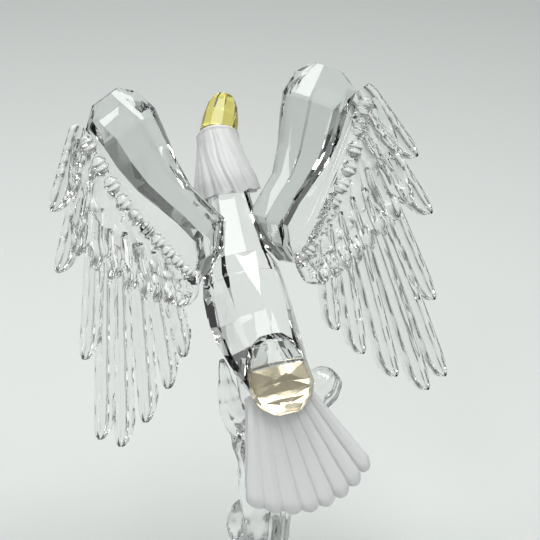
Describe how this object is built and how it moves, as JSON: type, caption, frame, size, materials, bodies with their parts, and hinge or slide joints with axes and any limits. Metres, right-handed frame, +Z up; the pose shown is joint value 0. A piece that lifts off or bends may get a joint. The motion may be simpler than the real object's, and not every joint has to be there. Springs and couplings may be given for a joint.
{
  "type": "crystal eagle figurine",
  "caption": "Faceted crystal eagle with raised wings, frosted head and fanned tail, yellow beak and golden rump gem, perched on a forked branch with a low spreading base.",
  "frame": {"origin": "centre of the base's underside", "axes": "+Z up; the bird looks along -Y and its left wing is on +X"},
  "size_m": [0.1078, 0.0807, 0.1467],
  "materials": {
    "clear_crystal": "polished clear",
    "gold_backed_crystal": "polished clear, golden underneath",
    "frosted_crystal": "frosted",
    "yellow_crystal": "polished light yellow"
  },
  "bodies": {
    "root": {"body": "clear_crystal", "rump_gem": "gold_backed_crystal", "head": "frosted_crystal", "beak": "yellow_crystal", "tail": "frosted_crystal", "wing_arm_left": "clear_crystal", "wing_arm_right": "clear_crystal", "wing_feathers_left": "clear_crystal", "wing_feathers_right": "clear_crystal", "foot_left": "clear_crystal", "foot_right": "clear_crystal", "stump": "clear_crystal"}
  },
  "joints": []
}
